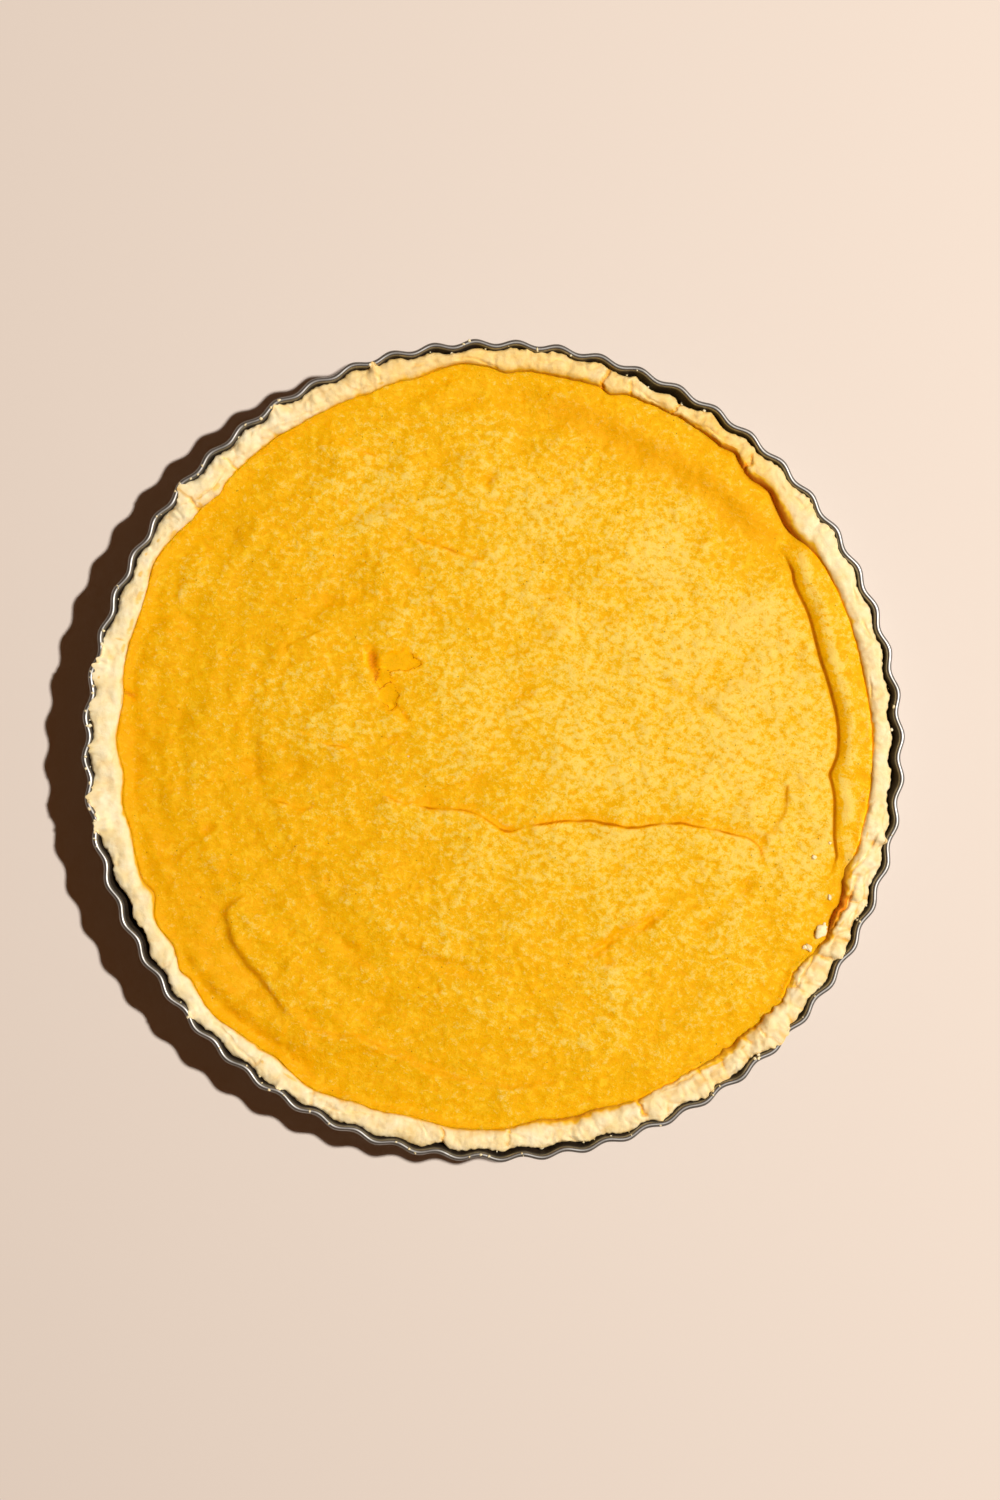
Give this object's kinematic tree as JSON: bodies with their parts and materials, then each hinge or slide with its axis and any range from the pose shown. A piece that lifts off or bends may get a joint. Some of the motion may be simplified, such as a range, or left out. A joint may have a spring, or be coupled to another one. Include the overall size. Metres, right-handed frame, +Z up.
{
  "type": "pumpkin cream cheese pie in a fluted tart tin",
  "caption": "Round uncut custard pie in a shortcrust case, with a pumpkin filling spread by spoon, baked in its own fluted metal tart tin.",
  "frame": {"origin": "centre of the tin's underside, on the surface that the tin stands on", "axes": "+Z up, +X towards the side of the pie with the raised roll of filling"},
  "size_m": [0.2798, 0.2798, 0.0308],
  "materials": {
    "tinned_steel": "satin, darkened by baking",
    "shortcrust": "matt baked pastry",
    "pumpkin_custard": "set custard with a slight sheen"
  },
  "bodies": {
    "root": {"tin": "tinned_steel", "crust": "shortcrust", "filling": "pumpkin_custard"}
  },
  "joints": []
}
